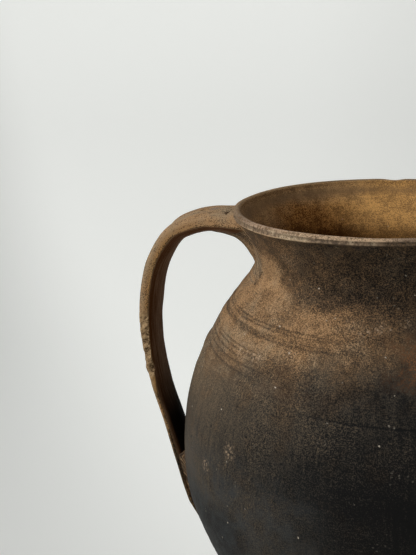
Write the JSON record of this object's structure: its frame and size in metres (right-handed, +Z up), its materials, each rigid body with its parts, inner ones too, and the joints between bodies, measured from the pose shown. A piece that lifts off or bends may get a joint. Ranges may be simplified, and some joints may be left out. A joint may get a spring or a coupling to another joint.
{
  "type": "ceramic jug",
  "caption": "Wide-mouthed unglazed earthenware jug with a round belly, everted rim, incised shoulder lines and a strap handle from rim to belly.",
  "frame": {"origin": "centre of the flat underside", "axes": "+Z up along the axis of the thrown body, the handle towards -X"},
  "size_m": [0.2493, 0.226, 0.28],
  "materials": {
    "smoked_clay": "unglazed, smoke-blackened, lightly burnished",
    "strap_clay": "unglazed, worn tan with smoke stains",
    "luting_clay": "unglazed, thumb-smeared"
  },
  "bodies": {
    "root": {"thrown_body": "smoked_clay", "strap_handle": "strap_clay", "upper_luting": "luting_clay", "lower_luting": "luting_clay"}
  },
  "joints": []
}
